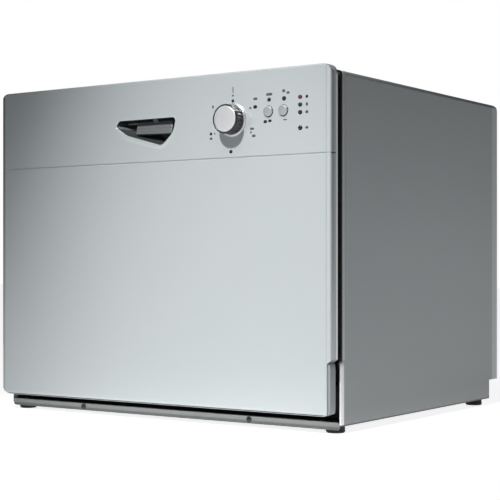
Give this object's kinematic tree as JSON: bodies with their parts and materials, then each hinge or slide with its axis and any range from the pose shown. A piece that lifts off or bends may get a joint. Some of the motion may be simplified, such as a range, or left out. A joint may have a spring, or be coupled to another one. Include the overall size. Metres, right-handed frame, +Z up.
{
  "type": "countertop dishwasher",
  "caption": "Compact countertop dishwasher with a drop-down door, a roll-out dish rack, a spray arm, a filter and a control panel above the door seam.",
  "frame": {"origin": "on the floor, in the middle of the closed machine's footprint", "axes": "+X to the viewer's right along the front, +Y from the door to the back, +Z up"},
  "size_m": [0.545, 0.496, 0.447],
  "materials": {
    "wrap_paint": "satin dark silver paint",
    "front_paint": "fine metallic silver paint",
    "fascia_plastic": "silver painted moulding",
    "stainless": "brushed stainless sheet",
    "zinc": "bright zinc plated steel",
    "spring_steel": "oiled spring steel",
    "black_plastic": "black moulded plastic",
    "grey_plastic": "mid grey moulded plastic",
    "pale_plastic": "pale grey moulded plastic",
    "strip_plastic": "silver plastic strip",
    "rubber": "black rubber",
    "mat": "bitumen damping mat",
    "foam": "pale fibre pad",
    "wire": "grey nylon coated wire",
    "chrome": "chromed plastic ring",
    "knob": "silver and dark grey moulding",
    "lens": "smoked lens",
    "board": "green circuit board",
    "heater": "heat-tinted steel tube",
    "catch": "blue push catch"
  },
  "bodies": {
    "cabinet": {"outer_wrap": "wrap_paint", "rear_panel": "zinc", "base_tray": "black_plastic", "base_walls": "black_plastic", "tray_posts": "black_plastic", "hose_recess": "black_plastic", "plinth": "strip_plastic", "plinth_screws": "zinc", "feet": "rubber", "tub": "stainless", "tub_frame": "stainless", "spring_tabs": "zinc", "tub_gasket": "rubber", "edge_seal": "rubber", "sound_mats": "mat", "rack_rails": "stainless", "hinge_brackets": "zinc", "door_springs": "spring_steel", "striker": "zinc", "sump": "grey_plastic", "filter_plate": "stainless", "heater": "heater", "spray_post": "grey_plastic", "circulation_pump": "black_plastic", "circulation_hose": "rubber", "drain_pump": "black_plastic", "drain_hose": "grey_plastic", "softener": "pale_plastic", "air_break": "pale_plastic", "inlet_valve": "pale_plastic", "inlet_hose": "pale_plastic", "cable_gland": "black_plastic"},
    "door": {"door_panel": "front_paint", "fascia": "fascia_plastic", "door_liner": "stainless", "door_insulation": "foam", "door_bottom_seal": "rubber", "hinge_arms": "zinc", "handle_cup": "grey_plastic", "latch_body": "black_plastic", "knob_bezel": "chrome", "program_switch": "black_plastic", "indicator_lenses": "lens", "control_board": "board", "dispenser_body": "grey_plastic"},
    "lever": {"handle_lever": "fascia_plastic"},
    "hook": {"latch_hook": "zinc"},
    "knob": {"program_knob": "knob"},
    "left_button": {"button_left": "fascia_plastic"},
    "right_button": {"button_right": "fascia_plastic"},
    "lid": {"dispenser_lid": "pale_plastic"},
    "catch": {"dispenser_catch": "catch"},
    "rinse_aid_cap": {"rinse_cap": "black_plastic"},
    "rack": {"rack_floor": "wire", "rack_end_walls": "wire", "rack_side_walls": "wire", "plate_tines": "wire", "wheel_brackets": "pale_plastic"},
    "front_wheel_pair": {"front_wheels": "pale_plastic"},
    "rear_wheel_pair": {"rear_wheels": "pale_plastic"},
    "shelf": {"cup_shelf": "wire"},
    "basket": {"cutlery_basket": "grey_plastic", "basket_cells": "grey_plastic", "basket_handle": "grey_plastic"},
    "arm": {"spray_arm": "grey_plastic"},
    "filter": {"filter_cup": "grey_plastic"},
    "salt_filler_cap": {"salt_cap": "pale_plastic"}
  },
  "joints": [
    {"name": "door_hinge", "type": "hinge", "parent": "cabinet", "child": "door", "pos_m": [0, -0.206, 0.066], "axis": [1, 0, 0], "range_deg": [0, 90], "stiffness_Nm_per_rad": 5.9, "deforming": ["door_springs"]},
    {"name": "rack_slide", "type": "slide", "parent": "cabinet", "child": "rack", "axis": [0, -1, 0], "range_m": [0, 0.188]},
    {"name": "front_wheels_spin", "type": "hinge", "parent": "rack", "child": "front_wheel_pair", "pos_m": [0, 0.01, 0.1215], "axis": [1, 0, 0], "continuous": true},
    {"name": "rear_wheels_spin", "type": "hinge", "parent": "rack", "child": "rear_wheel_pair", "pos_m": [0, 0.17, 0.1215], "axis": [1, 0, 0], "continuous": true},
    {"name": "shelf_fold", "type": "hinge", "parent": "rack", "child": "shelf", "pos_m": [-0.196, 0.02, 0.234], "axis": [0, -1, 0], "range_deg": [0, 85]},
    {"name": "basket_lift", "type": "slide", "parent": "rack", "child": "basket", "axis": [0, 0, 1], "range_m": [0, 0.1]},
    {"name": "handle_pull", "type": "hinge", "parent": "door", "child": "lever", "pos_m": [0, -0.217, 0.3925], "axis": [-1, 0, 0], "range_deg": [0, 14], "stiffness_Nm_per_rad": 0.25, "springref_deg": -14.32},
    {"name": "hook_lift", "type": "hinge", "parent": "door", "child": "hook", "pos_m": [0, -0.222, 0.4322], "axis": [1, 0, 0], "range_deg": [0, 9]},
    {"name": "knob_turn", "type": "hinge", "parent": "door", "child": "knob", "pos_m": [0.128, -0.23, 0.3865], "axis": [0, 1, 0], "continuous": true},
    {"name": "left_button_press", "type": "slide", "parent": "door", "child": "left_button", "axis": [0, 1, 0], "range_m": [0, 0.0025], "stiffness_N_per_m": 250, "springref_m": -0.001},
    {"name": "right_button_press", "type": "slide", "parent": "door", "child": "right_button", "axis": [0, 1, 0], "range_m": [0, 0.0025], "stiffness_N_per_m": 250, "springref_m": -0.001},
    {"name": "lid_slide", "type": "slide", "parent": "door", "child": "lid", "axis": [1, 0, 0], "range_m": [0, 0.05]},
    {"name": "catch_press", "type": "slide", "parent": "door", "child": "catch", "axis": [0, -1, 0], "range_m": [0, 0.0018], "stiffness_N_per_m": 250, "springref_m": -0.001},
    {"name": "rinse_cap_turn", "type": "hinge", "parent": "door", "child": "rinse_aid_cap", "pos_m": [0.054, -0.19, 0.24], "axis": [0, 1, 0], "range_deg": [0, 90]},
    {"name": "arm_spin", "type": "hinge", "parent": "cabinet", "child": "arm", "pos_m": [0, 0, 0.1013], "axis": [0, 0, 1], "continuous": true},
    {"name": "filter_turn", "type": "hinge", "parent": "cabinet", "child": "filter", "pos_m": [0.11, -0.096, 0.089], "axis": [0, 0, 1], "range_deg": [0, 90]},
    {"name": "salt_cap_turn", "type": "hinge", "parent": "cabinet", "child": "salt_filler_cap", "pos_m": [-0.112, -0.096, 0.0923], "axis": [0, 0, 1], "range_deg": [0, 180]}
  ],
  "couplings": [
    {"joint": "rack_slide", "follows": "door_hinge", "m_per_rad": 0.11968},
    {"joint": "front_wheels_spin", "follows": "door_hinge", "ratio": 13.298},
    {"joint": "rear_wheels_spin", "follows": "door_hinge", "ratio": 13.298},
    {"joint": "hook_lift", "follows": "handle_pull", "ratio": 0.636}
  ]
}
